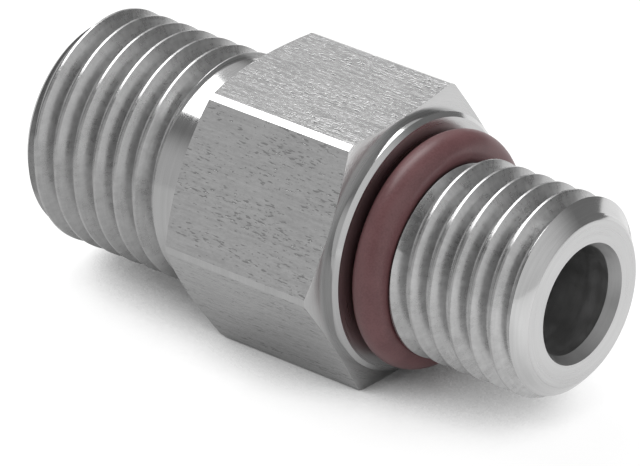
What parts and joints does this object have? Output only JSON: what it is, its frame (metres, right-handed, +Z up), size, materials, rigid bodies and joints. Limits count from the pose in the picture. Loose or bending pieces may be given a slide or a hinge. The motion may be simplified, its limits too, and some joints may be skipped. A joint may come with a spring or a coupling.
{
  "type": "pressure test adapter",
  "caption": "Straight hexagon adapter with a coned male tube end, a male port stud and an O-ring, for joining a gauge or test line to a hydraulic port.",
  "frame": {"origin": "on the axis of the through bore, in the plane of the collar's front face that seats on the port", "axes": "+X along the bore axis towards the port stud, +Z up, with the part lying on one flat of its hexagon"},
  "size_m": [0.036, 0.0182, 0.016],
  "materials": {
    "turned_stainless": "turned stainless steel, fine tool marks on the round faces and drawn bar skin on the flats",
    "seal_rubber": "smooth brown-red fluoro rubber with a soft sheen"
  },
  "bodies": {
    "root": {"adapter_body": "turned_stainless", "o_ring": "seal_rubber"}
  },
  "joints": []
}
